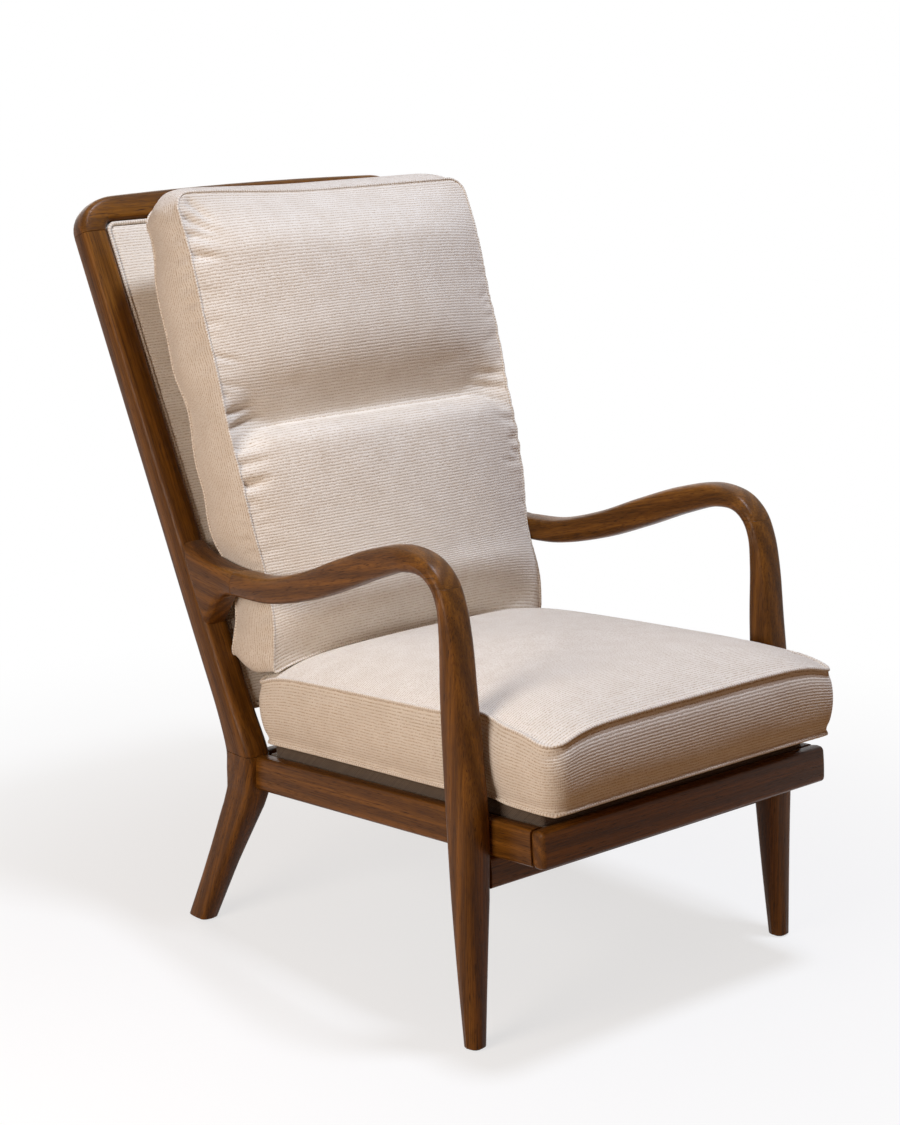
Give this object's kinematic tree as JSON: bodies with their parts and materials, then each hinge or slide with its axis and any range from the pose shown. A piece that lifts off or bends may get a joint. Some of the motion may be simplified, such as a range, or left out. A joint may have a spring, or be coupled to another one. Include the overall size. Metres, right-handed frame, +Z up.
{
  "type": "fireside armchair with a show-wood frame and loose cushions",
  "caption": "Wooden fireside chair with serpentine arms that run into the front legs, a high raked upholstered back and loose seat and back cushions.",
  "frame": {"origin": "on the floor, under the middle of the whole chair's box", "axes": "+Z up; the sitter faces -Y; +X is the sitter's left"},
  "size_m": [0.6292, 1.0146, 1.0418],
  "materials": {
    "show_wood": "walnut-stained open-grain hardwood, satin lacquer",
    "inner_wood": "plain planed beech, unfinished",
    "upholstery": "oatmeal ribbed woven cloth, matte",
    "webbing": "elastic webbing, matte",
    "dust_fabric": "thin black lining cloth, matte",
    "steel": "zinc-plated, satin",
    "glide": "moulded, matte"
  },
  "bodies": {
    "root": {"arm_block_left": "show_wood", "arm_block_right": "show_wood", "arm_dowel_left": "inner_wood", "arm_dowel_right": "inner_wood", "arm_left": "show_wood", "arm_right": "show_wood", "back_cushion": "upholstery", "back_pad": "upholstery", "back_post_left": "show_wood", "back_post_right": "show_wood", "back_rear_cover": "upholstery", "back_web_1": "webbing", "back_web_2": "webbing", "back_web_3": "webbing", "back_welt": "upholstery", "block_dowel_left": "inner_wood", "block_dowel_right": "inner_wood", "corner_block_front_left": "inner_wood", "corner_block_front_right": "inner_wood", "corner_block_rear_left": "inner_wood", "corner_block_rear_right": "inner_wood", "crest_dowel_left": "inner_wood", "crest_dowel_right": "inner_wood", "crest_rail": "show_wood", "deck_bar_front": "inner_wood", "deck_bar_left": "inner_wood", "deck_bar_rear": "inner_wood", "deck_bar_right": "inner_wood", "deck_cover": "upholstery", "dust_cover": "dust_fabric", "front_glide_left": "glide", "front_glide_right": "glide", "front_leg_left": "show_wood", "front_leg_right": "show_wood", "front_rail": "show_wood", "front_stretcher": "show_wood", "leg_bolt_left": "steel", "leg_bolt_right": "steel", "panel_bar_low": "inner_wood", "panel_bar_top": "inner_wood", "panel_stile_left": "inner_wood", "panel_stile_right": "inner_wood", "post_dowel_left": "inner_wood", "post_dowel_right": "inner_wood", "rear_glide_left": "glide", "rear_glide_right": "glide", "rear_leg_left": "show_wood", "rear_leg_right": "show_wood", "rear_rail": "show_wood", "seat_cushion": "upholstery", "seat_web_1": "webbing", "seat_web_2": "webbing", "seat_web_3": "webbing", "seat_web_4": "webbing", "side_rail_left": "show_wood", "side_rail_right": "show_wood"}
  },
  "joints": []
}
